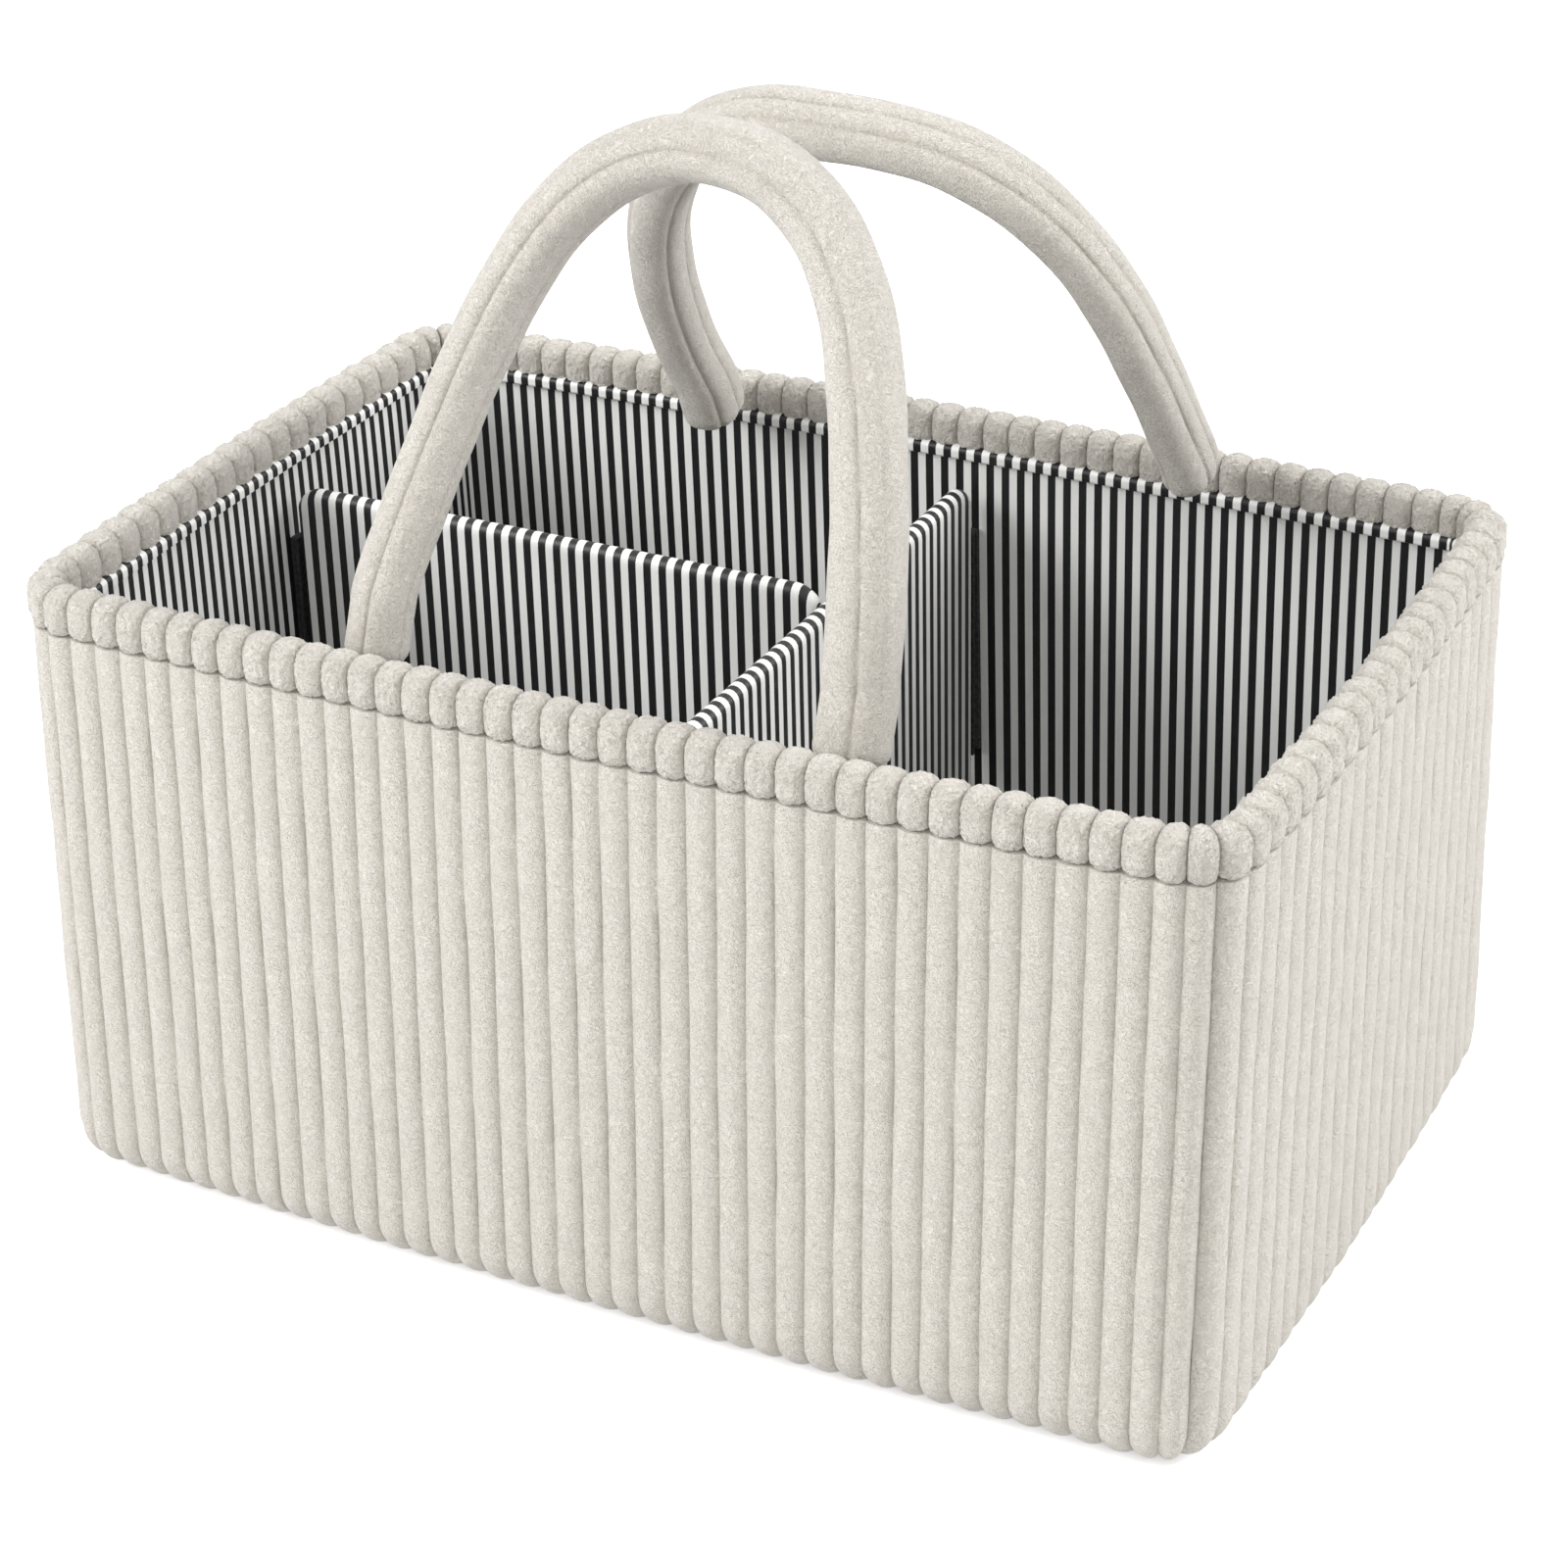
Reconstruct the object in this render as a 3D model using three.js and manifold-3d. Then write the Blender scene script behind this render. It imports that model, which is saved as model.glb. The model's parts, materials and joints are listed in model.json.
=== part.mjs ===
// A soft diaper caddy: a padded, ribbed tub with a rolled rim, a striped lining, two lift-out
// dividers and two padded carry handles. Millimetres, +Z up, +X along the length, front towards -Y.
// The origin is on the floor, under the middle of the tub.

import * as THREE from "three";
import { mergeVertices } from "three/addons/utils/BufferGeometryUtils.js";
import Module from "manifold-3d";

const wasm = await Module();
wasm.setup();

// Driving dimensions of the tub, over the crests of the ribs
const tubLength = 380;
const rimDepth = 234;
const baseDepth = 246;
const tubHeight = 194;
const cornerRadius = 18;
const frontBow = 4;
const sideBow = 3;
const clearance = 0.3;

// Ribbed outer cover
const longWallRibs = 42;
const shortWallRibs = 22;
const ribGrooveDepth = 2.2;
const cornerSeamDepth = 3.4;
const ribShoulderShares = [0.2, 0.8];
const coverThickness = 6;
const bottomCurlRadius = 14;
const floorLift = 0.3;
const curlSteps = 2;

// Rolled rim: one fat lobe for each rib
const rimRollWidth = 13;
const rimRollHeight = 13.7;
const rimRollOverhang = 0.8;
const rimLobeDepth = 2;
const rimInnerRise = 1.7;
const rimRingSides = 6;

// Stiffening boards and linings, counted inwards from the cover
const wallBoardThickness = 3;
const liningThickness = 1.2;
const facingThickness = 1.2;
const facingHeight = 3;
const underCoverThickness = 1.5;
const baseBoardThickness = 5.7;
const floorLiningThickness = 1.2;

// Dividers
const crossDividerX = 14;
const longDividerY = 17;
const dividerThickness = 6;
const dividerCoreThickness = 3;
const dividerDropBelowRim = 19;
const dividerCornerRadius = 9;
const dividerEdgeRound = 2;
const dividerHemHeight = 4;
const fastenerThickness = 1.2;
const fastenerWidth = 5;
const fastenerLength = 80;
const fastenerTopMargin = 18;

// Handles
const handleSpan = 158;
const handleRise = 134;
const handleArchPower = 2.4;
const frontHandleShift = -3;
const backHandleShift = 12;
const frontHandleLean = 22;
const backHandleLean = 24;
const strapWidth = 18.5;
const strapThickness = 16;
const strapSeamDepth = 1.6;
const strapSkin = 2;
const strapEndDrop = 20;
const strapTurnClearance = 1;
const footShare = 0.03;

// Fineness of round stretches and one overrun for every cut
const cornerColumns = 3;
const wallColumns = 6;
const arcSteps = 5;
const archSteps = 24;
const strapCoreSides = 8;
const turnSides = 24;
const cutOverrun = 5;

// Depths of the layers below the crest of the cover, from outside to inside
const boardOuterDepth = coverThickness + clearance;
const boardInnerDepth = boardOuterDepth + wallBoardThickness;
const liningOuterDepth = boardInnerDepth + clearance;
const liningInnerDepth = liningOuterDepth + liningThickness;
const facingOuterDepth = liningInnerDepth + clearance;
const facingInnerDepth = facingOuterDepth + facingThickness;

// Heights of the layers above the floor
const curlCentreHeight = bottomCurlRadius + floorLift;
const coverTop = tubHeight - rimRollHeight - clearance;
const rimInnerBottom = tubHeight - rimRollHeight + rimInnerRise;
const facingTop = rimInnerBottom - clearance;
const facingBottom = facingTop - facingHeight;
const baseBoardBottom = underCoverThickness + clearance;
const baseBoardTop = baseBoardBottom + baseBoardThickness;
const curlInnerRadius = bottomCurlRadius - coverThickness;
// The curl is a chain of flats, so its inside reaches a little closer than its radius
const curlInnerReach = curlInnerRadius * Math.cos(Math.PI / 4 / curlSteps);
function curlInsideAt(depth) {
  const reach = Math.min(bottomCurlRadius - depth, curlInnerReach);
  return curlCentreHeight - Math.sqrt(curlInnerReach ** 2 - reach ** 2);
}
const liningBottom = curlInsideAt(liningOuterDepth) + clearance;
const floorLiningBottom = Math.max(baseBoardTop, curlInsideAt(liningInnerDepth + clearance)) + clearance;
const floorLiningTop = floorLiningBottom + floorLiningThickness;
const boardBottom = curlCentreHeight + clearance;
const dividerTop = tubHeight - dividerDropBelowRim;
const dividerBottom = floorLiningTop + clearance;

const plush = { color: 0xe9e5dc, roughness: 0.95, metalness: 0 };
const stripedCloth = { color: 0x8c8c8c, roughness: 0.55, metalness: 0 };
const board = { color: 0xc9b48f, roughness: 0.9, metalness: 0 };
const blackTape = { color: 0x202022, roughness: 0.8, metalness: 0 };
const foam = { color: 0xf2efe6, roughness: 1, metalness: 0 };

const caddy = new THREE.Group();

function addPiece(name, geometry, look, parent = caddy) {
  const mesh = new THREE.Mesh(geometry, new THREE.MeshStandardMaterial(look));
  mesh.name = name;
  parent.add(mesh);
  return mesh;
}

// The plan of the tub: a rectangle with round corners whose walls bow out a little.
// Each wall runs from the middle of one corner to the middle of the next, anticlockwise.
const walls = {
  front: { ribs: longWallRibs, long: true, turn: -Math.PI / 2 },
  right: { ribs: shortWallRibs, long: false, turn: 0 },
  back: { ribs: longWallRibs, long: true, turn: Math.PI / 2 },
  left: { ribs: shortWallRibs, long: false, turn: Math.PI },
};

function halfDepthAt(z) {
  return THREE.MathUtils.lerp(baseDepth, rimDepth, z / tubHeight) / 2;
}

function wallSizes(wall, z) {
  const along = wall.long ? tubLength / 2 : halfDepthAt(z);
  const out = wall.long ? halfDepthAt(z) : tubLength / 2;
  const straight = along - cornerRadius;
  const runLength = 2 * straight + (cornerRadius * Math.PI) / 2;
  return { along, out, straight, runLength };
}

// A point on the wall at a share of its run, a depth below the crest and a height
function wallPoint(wall, share, depth, z) {
  const { along, out, straight, runLength } = wallSizes(wall, z);
  const run = (share - 1 / 2) * runLength;
  const past = Math.max(0, Math.abs(run) - straight);
  const angle = past / cornerRadius;
  const side = Math.sign(run);
  const crest = new THREE.Vector2(
    side * (Math.min(Math.abs(run), straight) + cornerRadius * Math.sin(angle)),
    out - cornerRadius + cornerRadius * Math.cos(angle),
  );
  const ownBow = wall.long ? frontBow : sideBow;
  const neighbourBow = wall.long ? sideBow : frontBow;
  const bowed = new THREE.Vector2(
    crest.x + side * neighbourBow * (1 - (crest.y / out) ** 2),
    crest.y + ownBow * (1 - (crest.x / along) ** 2),
  );
  const tangential = bowed.x - side * depth * Math.sin(angle);
  const outward = bowed.y - depth * Math.cos(angle);
  const cos = Math.cos(wall.turn);
  const sin = Math.sin(wall.turn);
  return new THREE.Vector3(outward * cos - tangential * sin, outward * sin + tangential * cos, z);
}

// How far the seam gap at a corner shortens a wall's run
function seamShare(wall) {
  return clearance / 2 / wallSizes(wall, tubHeight).runLength;
}

function cornerShare(wall) {
  const { runLength } = wallSizes(wall, tubHeight);
  return (cornerRadius * Math.PI) / 4 / runLength;
}

// Shares of the run for a smooth layer that goes round both corners
function smoothShares(wall) {
  const corner = cornerShare(wall);
  const start = seamShare(wall);
  const shares = [];
  for (let i = 0; i < cornerColumns; i++) {
    shares.push(THREE.MathUtils.lerp(start, corner, i / cornerColumns));
  }
  for (let i = 0; i < wallColumns; i++) {
    shares.push(THREE.MathUtils.lerp(corner, 1 - corner, i / wallColumns));
  }
  for (let i = 0; i <= cornerColumns; i++) {
    shares.push(THREE.MathUtils.lerp(1 - corner, 1 - start, i / cornerColumns));
  }
  return shares;
}

function straightShares(wall, fromShare, toShare, steps) {
  return Array.from({ length: steps + 1 }, (_, i) => THREE.MathUtils.lerp(fromShare, toShare, i / steps));
}

// Shares of the run at each groove and rib shoulder, with the depth of the surface there
function ribColumns(wall) {
  const columns = [];
  const start = seamShare(wall);
  for (let rib = 0; rib < wall.ribs; rib++) {
    const depth = rib === 0 ? cornerSeamDepth : ribGrooveDepth;
    columns.push({ share: Math.max(start, rib / wall.ribs), groove: true, depth });
    for (const shoulder of ribShoulderShares) {
      columns.push({ share: (rib + shoulder) / wall.ribs, groove: false, depth: 0 });
    }
  }
  columns.push({ share: 1 - start, groove: true, depth: cornerSeamDepth });
  return columns;
}

// Collects triangles from strips between rows of points, and turns the result outwards
class Skin {
  constructor() {
    this.positions = [];
  }

  triangle(a, b, c) {
    for (const p of [a, b, c]) {
      this.positions.push(p.x, p.y, p.z);
    }
  }

  // Joins two rows of points that may differ in number, by how far along each has come
  strip(rowA, rowB, sharesA, sharesB) {
    let i = 0;
    let j = 0;
    while (i < rowA.length - 1 || j < rowB.length - 1) {
      const nextA = i < rowA.length - 1 ? sharesA[i + 1] : Infinity;
      const nextB = j < rowB.length - 1 ? sharesB[j + 1] : Infinity;
      if (nextA <= nextB) {
        this.triangle(rowA[i], rowA[i + 1], rowB[j]);
        i += 1;
      } else {
        this.triangle(rowA[i], rowB[j + 1], rowB[j]);
        j += 1;
      }
    }
  }

  grid(rows) {
    for (let r = 0; r < rows.length - 1; r++) {
      const counts = rows[r].map((_, i) => i);
      this.strip(rows[r], rows[r + 1], counts, counts);
    }
  }

  geometry() {
    const geometry = new THREE.BufferGeometry();
    geometry.setAttribute("position", new THREE.Float32BufferAttribute(this.positions, 3));
    if (signedVolume(this.positions) < 0) {
      for (let t = 0; t < this.positions.length; t += 9) {
        for (let axis = 0; axis < 3; axis++) {
          const kept = this.positions[t + axis];
          this.positions[t + axis] = this.positions[t + 3 + axis];
          this.positions[t + 3 + axis] = kept;
        }
      }
      geometry.setAttribute("position", new THREE.Float32BufferAttribute(this.positions, 3));
    }
    const merged = mergeVertices(geometry);
    merged.computeVertexNormals();
    return merged;
  }
}

function signedVolume(positions) {
  const a = new THREE.Vector3();
  const b = new THREE.Vector3();
  const c = new THREE.Vector3();
  let sum = 0;
  for (let t = 0; t < positions.length; t += 9) {
    a.fromArray(positions, t);
    b.fromArray(positions, t + 3);
    c.fromArray(positions, t + 6);
    sum += a.dot(b.cross(c));
  }
  return sum;
}

// A closed sheet of some thickness: rows of outer points and rows of inner points from top to
// bottom, whose numbers of columns may differ
function sheetBody(outerRows, outerShares, innerRows, innerShares) {
  const skin = new Skin();
  const last = outerRows.length - 1;
  const outerEnd = outerShares.length - 1;
  const innerEnd = innerShares.length - 1;
  const rowCounts = outerRows.map((_, i) => i);
  skin.grid(outerRows);
  skin.grid(innerRows.map((row) => [...row].reverse()));
  skin.strip(innerRows[0], outerRows[0], innerShares, outerShares);
  skin.strip(outerRows[last], innerRows[last], outerShares, innerShares);
  const outerStart = outerRows.map((row) => row[0]);
  const innerStart = innerRows.map((row) => row[0]);
  skin.strip(outerStart, innerStart, rowCounts, rowCounts);
  const outerStop = outerRows.map((row) => row[outerEnd]);
  const innerStop = innerRows.map((row) => row[innerEnd]);
  skin.strip(innerStop, outerStop, rowCounts, rowCounts);
  return skin.geometry();
}

// A flat layer of a wall between two depths and two heights
function wallLayer(wall, shares, outerDepth, innerDepth, bottom, top) {
  const row = (depth, z) => shares.map((share) => wallPoint(wall, share, depth, z));
  const outerRows = [row(outerDepth, top), row(outerDepth, bottom)];
  const innerRows = [row(innerDepth, top), row(innerDepth, bottom)];
  return sheetBody(outerRows, shares, innerRows, shares);
}

// The padded cover of one wall: upright ribs that curl under the bottom edge
function ribbedCover(wall) {
  const ribs = ribColumns(wall);
  const ribShares = ribs.map((column) => column.share);
  const inner = smoothShares(wall);
  const outerRows = [ribs.map((column) => wallPoint(wall, column.share, column.depth, coverTop))];
  const innerRows = [inner.map((share) => wallPoint(wall, share, coverThickness, coverTop))];
  for (let step = 0; step <= curlSteps; step++) {
    const angle = ((Math.PI / 2) * step) / curlSteps;
    const curled = (share, depth) => {
      const radius = bottomCurlRadius - depth;
      const inset = bottomCurlRadius - radius * Math.cos(angle);
      return wallPoint(wall, share, inset, curlCentreHeight - radius * Math.sin(angle));
    };
    outerRows.push(ribs.map((column) => curled(column.share, column.depth)));
    innerRows.push(inner.map((share) => curled(share, coverThickness)));
  }
  return sheetBody(outerRows, ribShares, innerRows, inner);
}

// The rolled rim of one wall: a row of lobes on the top edge
function rimRoll(wall) {
  const rings = ribColumns(wall).map((column) => {
    const drawnIn = column.groove ? rimLobeDepth : 0;
    const points = [];
    for (let i = 0; i < rimRingSides; i++) {
      const angle = (2 * Math.PI * (i + 1 / 2)) / rimRingSides;
      const widened = Math.cos(angle) / Math.cos(Math.PI / rimRingSides);
      const across = (rimRollWidth / 2 - drawnIn) * widened;
      const upright = (rimRollHeight / 2 - drawnIn / 2) * Math.sin(angle);
      const depth = rimRollWidth / 2 - rimRollOverhang - across;
      const inward = (depth + rimRollOverhang) / rimRollWidth;
      const lowered = Math.sin(angle) < 0 ? Math.max(0, 2 * inward - 1) * rimInnerRise : 0;
      points.push(wallPoint(wall, column.share, depth, tubHeight - rimRollHeight / 2 + upright + lowered));
    }
    points.push(points[0].clone());
    return points;
  });
  const skin = new Skin();
  skin.grid(rings);
  const first = rings[0];
  const final = rings[rings.length - 1];
  for (let i = 1; i < rimRingSides - 1; i++) {
    skin.triangle(first[0], first[i + 1], first[i]);
    skin.triangle(final[0], final[i], final[i + 1]);
  }
  return skin.geometry();
}

// The outline of the tub at one depth and height, as a flat shape
function planShape(depth, z) {
  const points = [];
  for (const wall of Object.values(walls)) {
    for (const share of smoothShares(wall)) {
      const p = wallPoint(wall, share, depth, z);
      points.push(new THREE.Vector2(p.x, p.y));
    }
  }
  return new THREE.Shape(points);
}

function flatPlate(shape, bottom, thickness) {
  const geometry = new THREE.ExtrudeGeometry(shape, { depth: thickness, bevelEnabled: false });
  geometry.translate(0, 0, bottom);
  return geometry;
}

// Boolean helpers
function toSolid(geometry) {
  const bare = geometry.clone();
  bare.deleteAttribute("normal");
  bare.deleteAttribute("uv");
  const merged = mergeVertices(bare);
  const mesh = new wasm.Mesh({
    numProp: 3,
    vertProperties: new Float32Array(merged.attributes.position.array),
    triVerts: new Uint32Array(merged.index.array),
  });
  return new wasm.Manifold(mesh);
}

function toGeometry(solid) {
  const mesh = solid.getMesh();
  const geometry = new THREE.BufferGeometry();
  geometry.setAttribute("position", new THREE.Float32BufferAttribute(mesh.vertProperties, 3));
  geometry.setIndex(new THREE.Uint32BufferAttribute(mesh.triVerts, 1));
  geometry.computeVertexNormals();
  return geometry;
}

// Tub walls
for (const [side, wall] of Object.entries(walls)) {
  const corner = cornerShare(wall);
  const boardShares = straightShares(wall, corner, 1 - corner, wallColumns);
  const roundShares = smoothShares(wall);
  addPiece(`outer_cover_${side}`, ribbedCover(wall), plush);
  addPiece(`rim_roll_${side}`, rimRoll(wall), plush);
  const boardBody = wallLayer(wall, boardShares, boardOuterDepth, boardInnerDepth, boardBottom, coverTop);
  addPiece(`wall_board_${side}`, boardBody, board);
  const liningBody = wallLayer(wall, roundShares, liningOuterDepth, liningInnerDepth, liningBottom, coverTop);
  addPiece(`lining_${side}`, liningBody, stripedCloth);
  const facingBody = wallLayer(wall, roundShares, facingOuterDepth, facingInnerDepth, facingBottom, facingTop);
  addPiece(`facing_${side}`, facingBody, stripedCloth);
}

// Bottom of the tub
const underDepth = bottomCurlRadius + clearance;
addPiece("under_cover", flatPlate(planShape(underDepth, 0), 0, underCoverThickness), plush);
addPiece("base_board", flatPlate(planShape(underDepth, 0), baseBoardBottom, baseBoardThickness), board);
const floorDepth = liningInnerDepth + clearance;
const floorShape = planShape(floorDepth, floorLiningTop);
addPiece("lining_floor", flatPlate(floorShape, floorLiningBottom, floorLiningThickness), stripedCloth);

// How far from the middle the narrowest place is that a divider passes as it is lifted out
function passageDepthAt(x) {
  const narrow = Math.min(rimDepth, baseDepth) / 2;
  return narrow + frontBow * (1 - (x / (tubLength / 2)) ** 2) - facingInnerDepth - clearance;
}

function passageLengthAt(y) {
  return tubLength / 2 + sideBow * (1 - (y / halfDepthAt(tubHeight)) ** 2) - facingInnerDepth - clearance;
}

// The upright outline of a divider, with round top corners
function dividerShape(start, end, bottom, top, radius) {
  const shape = new THREE.Shape();
  shape.moveTo(start, bottom);
  shape.lineTo(end, bottom);
  shape.absarc(end - radius, top - radius, radius, 0, Math.PI / 2, false);
  shape.absarc(start + radius, top - radius, radius, Math.PI / 2, Math.PI, false);
  return shape;
}

// A divider's cloth cover: a flat sleeve with soft edges, open along its lower hem
function dividerCover(outline, pocket) {
  const bevel = {
    depth: dividerThickness - 2 * dividerEdgeRound,
    bevelEnabled: true,
    bevelThickness: dividerEdgeRound,
    bevelSize: dividerEdgeRound,
    bevelOffset: -dividerEdgeRound,
    bevelSegments: 2,
    curveSegments: arcSteps,
  };
  const full = new THREE.ExtrudeGeometry(outline, bevel);
  full.translate(0, 0, dividerEdgeRound - dividerThickness / 2);
  const pocketThickness = dividerCoreThickness + 2 * clearance;
  const hollow = new THREE.ExtrudeGeometry(pocket, {
    depth: pocketThickness,
    bevelEnabled: false,
    curveSegments: arcSteps,
  });
  hollow.translate(0, 0, -pocketThickness / 2);
  return toGeometry(toSolid(full).subtract(toSolid(hollow)));
}

function dividerCore(outline) {
  const core = new THREE.ExtrudeGeometry(outline, {
    depth: dividerCoreThickness,
    bevelEnabled: false,
    curveSegments: arcSteps,
  });
  core.translate(0, 0, -dividerCoreThickness / 2);
  return core;
}

// A divider's hook strip stands on each end of its cover, clear of the cover by the same gap
const hookRoom = fastenerThickness + clearance;
const skinThickness = (dividerThickness - dividerCoreThickness) / 2 - clearance;
const pocketInset = skinThickness + dividerEdgeRound;
const coreInset = pocketInset + clearance;
const fastenerTop = dividerTop - fastenerTopMargin;

// A flat strip of touch fastener, upright, with its face square to the divider's length
function fastenerStrip(start) {
  const strip = new THREE.BoxGeometry(fastenerThickness, fastenerLength, fastenerWidth);
  strip.translate(start + fastenerThickness / 2, fastenerTop - fastenerLength / 2, 0);
  return strip;
}

// Makes one divider between two ends: cloth cover, stiff core and a hook strip on each end
function addDivider(name, start, end, hookNames, placeBody) {
  const outlineAt = (inset, bottom) => {
    const radius = Math.max(dividerCornerRadius - inset, clearance);
    return dividerShape(start + inset, end - inset, bottom, dividerTop - inset, radius);
  };
  const cover = dividerCover(outlineAt(0, dividerBottom), outlineAt(pocketInset, dividerBottom - cutOverrun));
  const coreBottom = dividerBottom + dividerHemHeight;
  placeBody(addPiece(`${name}_cover`, cover, stripedCloth));
  placeBody(addPiece(`${name}_core`, dividerCore(outlineAt(coreInset, coreBottom)), board));
  placeBody(addPiece(`${name}_hook_${hookNames[0]}`, fastenerStrip(start - hookRoom), blackTape));
  placeBody(addPiece(`${name}_hook_${hookNames[1]}`, fastenerStrip(end + clearance), blackTape));
}

// Cross divider, from the front wall to the back wall: its outline lies in the YZ plane
const xAxis = new THREE.Vector3(1, 0, 0);
const yAxis = new THREE.Vector3(0, 1, 0);
const zAxis = new THREE.Vector3(0, 0, 1);
function standAcross(mesh) {
  mesh.quaternion.setFromRotationMatrix(new THREE.Matrix4().makeBasis(yAxis, zAxis, xAxis));
  mesh.position.x = crossDividerX;
}
const crossReach = passageDepthAt(crossDividerX) - hookRoom;
addDivider("cross_divider", -crossReach, crossReach, ["front", "back"], standAcross);

// Long divider, from the left wall to the cross divider: its outline lies in the XZ plane
function standAlong(mesh) {
  mesh.rotation.x = Math.PI / 2;
  mesh.position.y = longDividerY;
}
const crossLoopStart = crossDividerX - dividerThickness / 2 - clearance - fastenerThickness;
const longStart = -passageLengthAt(longDividerY) + hookRoom;
const longEnd = crossLoopStart - clearance - hookRoom;
addDivider("long_divider", longStart, longEnd, ["left", "right"], standAlong);

// Loop strips on the lining, opposite the hook strips
function wallShareAt(wall, along, z) {
  const { runLength } = wallSizes(wall, z);
  return 1 / 2 + along / runLength;
}

function addLoop(name, wall, along) {
  const from = wallShareAt(wall, along - fastenerWidth / 2, fastenerTop);
  const to = wallShareAt(wall, along + fastenerWidth / 2, fastenerTop);
  const outer = liningInnerDepth + clearance;
  const shares = straightShares(wall, from, to, 2);
  const bottom = fastenerTop - fastenerLength;
  const strip = wallLayer(wall, shares, outer, outer + fastenerThickness, bottom, fastenerTop);
  addPiece(name, strip, blackTape);
}

addLoop("loop_strip_front", walls.front, crossDividerX);
addLoop("loop_strip_back", walls.back, -crossDividerX);
addLoop("loop_strip_left", walls.left, -longDividerY);

const crossLoop = fastenerStrip(crossLoopStart);
standAlong(addPiece("cross_divider_loop_strip", crossLoop, blackTape));

// Handles. The section of the strap is two lobes wide and two lobes thick: each quarter of the
// outline runs from one seam round a lobe to the next seam.
function strapSection(acrossSize, alongSize) {
  const halfAcross = acrossSize / 2;
  const halfAlong = alongSize / 2;
  const points = [];
  for (const [signAcross, signAlong] of [[1, 1], [-1, 1], [-1, -1], [1, -1]]) {
    const sideSeam = new THREE.Vector2(signAcross * (halfAcross - strapSeamDepth), 0);
    const sideCrest = new THREE.Vector2(signAcross * halfAcross, (signAlong * halfAlong) / 2);
    const endCrest = new THREE.Vector2((signAcross * halfAcross) / 2, signAlong * halfAlong);
    const endSeam = new THREE.Vector2(0, signAlong * (halfAlong - strapSeamDepth));
    const quarter = [sideSeam, sideCrest, endCrest, endSeam];
    points.push(...(signAcross * signAlong > 0 ? quarter : quarter.reverse()).slice(0, -1));
  }
  return new THREE.Shape(points);
}

function ovalPoints(acrossSize, alongSize) {
  return Array.from({ length: strapCoreSides }, (_, i) => {
    const angle = (2 * Math.PI * (i + 1 / 2)) / strapCoreSides;
    return new THREE.Vector2((acrossSize / 2) * Math.cos(angle), (alongSize / 2) * Math.sin(angle));
  });
}

// The arch of a handle in its own plane: a short straight foot below each pivot, and between
// the feet a flattened half ring that rises from both pivots
class ArchCurve extends THREE.Curve {
  constructor(foot) {
    super();
    this.foot = foot;
  }

  getPoint(t, target = new THREE.Vector3()) {
    const half = handleSpan / 2;
    if (t < footShare) {
      return target.set(-half, 0, -this.foot * (1 - t / footShare));
    }
    if (t > 1 - footShare) {
      return target.set(half, 0, -this.foot * (1 - (1 - t) / footShare));
    }
    const angle = Math.PI * (1 - (t - footShare) / (1 - 2 * footShare));
    const bend = 2 / handleArchPower;
    const across = half * Math.sign(Math.cos(angle)) * Math.abs(Math.cos(angle)) ** bend;
    return target.set(across, 0, handleRise * Math.max(Math.sin(angle), 0) ** bend);
  }
}

// Everything below the pivots but a round end about the hinge line
function footCutter(radius) {
  const reach = handleSpan + strapWidth;
  const box = new THREE.BoxGeometry(reach, 2 * strapThickness, radius + cutOverrun);
  box.translate(0, 0, -(radius + cutOverrun) / 2);
  const round = new THREE.CylinderGeometry(radius, radius, reach + cutOverrun, turnSides);
  round.rotateZ(Math.PI / 2);
  return toSolid(box).subtract(toSolid(round));
}

function sweptStrap(section, foot) {
  return new THREE.ExtrudeGeometry(section, {
    steps: archSteps,
    extrudePath: new ArchCurve(foot),
    bevelEnabled: false,
  });
}

const turnRadius = strapThickness / 2;
const pivotHeight = tubHeight + turnRadius + strapTurnClearance;
const strapEndHeight = tubHeight - strapEndDrop;
const holeAcross = strapThickness - 2 * (strapSeamDepth + strapSkin);
const holeAlong = strapWidth - 2 * (strapSeamDepth + strapSkin);

function handleSleeve() {
  const section = strapSection(strapThickness, strapWidth);
  section.holes.push(new THREE.Path(ovalPoints(holeAcross, holeAlong)));
  return toGeometry(toSolid(sweptStrap(section, turnRadius)).subtract(footCutter(turnRadius)));
}

function handleCore() {
  const section = new THREE.Shape(ovalPoints(holeAcross - 2 * clearance, holeAlong - 2 * clearance));
  return sweptStrap(section, turnRadius / 2);
}

// A sewn end of the strap: it hangs down inside the rim in line with the arch, has a round tip,
// and is cut level just below the hinge line so that the arch can turn over it
function handleEnd(lean) {
  const reach = (pivotHeight - strapEndHeight) / Math.cos(lean);
  const section = strapSection(strapWidth, strapThickness);
  const bar = new THREE.ExtrudeGeometry(section, { depth: reach, bevelEnabled: false });
  bar.translate(0, 0, -reach);
  const tongue = new THREE.Shape();
  const half = strapWidth / 2 + cutOverrun;
  tongue.moveTo(half, 0);
  tongue.lineTo(-half, 0);
  tongue.lineTo(-strapWidth / 2, -reach + strapWidth / 2);
  tongue.absarc(0, -reach + strapWidth / 2, strapWidth / 2, Math.PI, 2 * Math.PI, false);
  const tip = new THREE.ExtrudeGeometry(tongue, {
    depth: 2 * strapThickness,
    bevelEnabled: false,
    curveSegments: arcSteps,
  });
  tip.rotateX(Math.PI / 2);
  tip.translate(0, strapThickness, 0);
  const above = new THREE.BoxGeometry(2 * strapWidth, 4 * strapThickness, 2 * strapThickness);
  above.translate(0, 0, strapThickness - turnRadius - clearance);
  above.rotateX(lean);
  return toGeometry(toSolid(bar).intersect(toSolid(tip)).subtract(toSolid(above)));
}

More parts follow.
